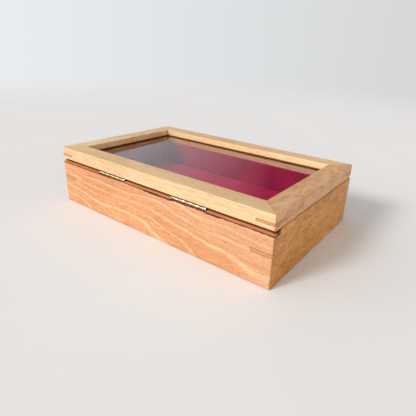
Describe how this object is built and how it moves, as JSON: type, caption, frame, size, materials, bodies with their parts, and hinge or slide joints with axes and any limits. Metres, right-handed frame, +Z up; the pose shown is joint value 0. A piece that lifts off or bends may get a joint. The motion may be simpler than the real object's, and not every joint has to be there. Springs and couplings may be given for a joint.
{
  "type": "coin display tray",
  "caption": "Shallow hinged wooden case with a glazed frame lid, keyed mitred corners and a velvet-lined compartment for showing coins.",
  "frame": {"origin": "centre of the footprint, on the surface the case stands on", "axes": "+X along the case's length, -Y towards the opening front, +Y towards the hinges, +Z up"},
  "size_m": [0.26, 0.16, 0.061],
  "materials": {
    "case_wood": "satin oiled steamed beech",
    "lid_wood": "satin oiled pale beech",
    "key_wood": "satin darker hardwood",
    "bead_wood": "dark stained hardwood",
    "board_wood": "bare birch plywood",
    "card": "matt grey-brown mount board",
    "velvet": "crimson velvet pile",
    "glass": "clear polished sheet",
    "rubber": "matt black glazing seal",
    "brass": "polished, lightly tarnished"
  },
  "bodies": {
    "case": {"case_back_panel": "case_wood", "case_left_panel": "case_wood", "case_front_panel": "case_wood", "case_right_panel": "case_wood", "case_bottom_board": "board_wood", "case_key_back_right": "key_wood", "case_key_back_left": "key_wood", "case_key_front_left": "key_wood", "case_key_front_right": "key_wood", "lining_back": "velvet", "lining_left": "velvet", "lining_front": "velvet", "lining_right": "velvet", "pad_board": "card", "coin_pad": "velvet", "left_hinge_case_leaf": "brass", "left_hinge_pin": "brass", "left_hinge_case_screw_1": "brass", "left_hinge_case_screw_2": "brass", "left_hinge_case_screw_3": "brass", "right_hinge_case_leaf": "brass", "right_hinge_pin": "brass", "right_hinge_case_screw_1": "brass", "right_hinge_case_screw_2": "brass", "right_hinge_case_screw_3": "brass"},
    "lid": {"lid_back_rail": "lid_wood", "lid_left_rail": "lid_wood", "lid_front_rail": "lid_wood", "lid_right_rail": "lid_wood", "lid_key_back_right": "key_wood", "lid_key_back_left": "key_wood", "lid_key_front_left": "key_wood", "lid_key_front_right": "key_wood", "glass_pane": "glass", "glass_seal": "rubber", "glazing_bead_back": "bead_wood", "glazing_bead_left": "bead_wood", "glazing_bead_front": "bead_wood", "glazing_bead_right": "bead_wood", "left_hinge_lid_leaf": "brass", "left_hinge_lid_screw_1": "brass", "left_hinge_lid_screw_2": "brass", "left_hinge_lid_screw_3": "brass", "right_hinge_lid_leaf": "brass", "right_hinge_lid_screw_1": "brass", "right_hinge_lid_screw_2": "brass", "right_hinge_lid_screw_3": "brass"}
  },
  "joints": [
    {"name": "lid_hinge", "type": "hinge", "parent": "case", "child": "lid", "pos_m": [0, 0.0779, 0.04605], "axis": [-1, 0, 0], "range_deg": [0, 97]}
  ]
}
